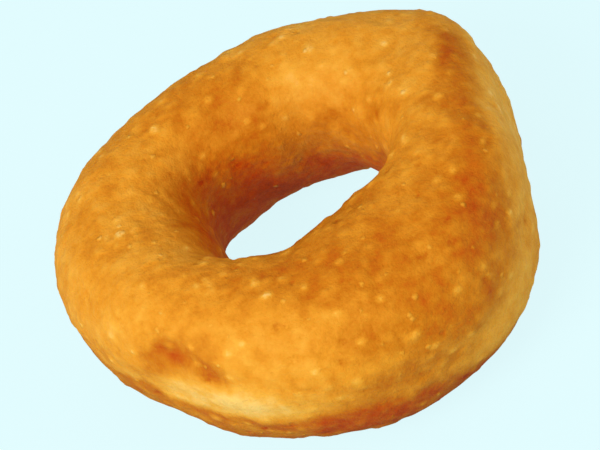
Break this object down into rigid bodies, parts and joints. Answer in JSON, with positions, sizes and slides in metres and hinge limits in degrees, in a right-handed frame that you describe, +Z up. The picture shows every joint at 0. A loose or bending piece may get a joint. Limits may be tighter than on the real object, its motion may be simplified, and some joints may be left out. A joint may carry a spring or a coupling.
{
  "type": "plain ring doughnut",
  "caption": "Plain ring doughnut of raised dough, fried golden brown on both faces with a paler belt round its side and an open hole through its middle.",
  "frame": {"origin": "middle of the object's box in plan, at the table it rests on", "axes": "+Z up, through the hole; +X along the hole's longer opening, to the right seen from the front; +Y towards the back"},
  "size_m": [0.0894, 0.0862, 0.0336],
  "materials": {
    "fried_crust": "golden-brown fried dough crust, slightly oily, with small blisters, a pale yellow belt and a darker hole wall"
  },
  "bodies": {
    "root": {"doughnut": "fried_crust"}
  },
  "joints": []
}
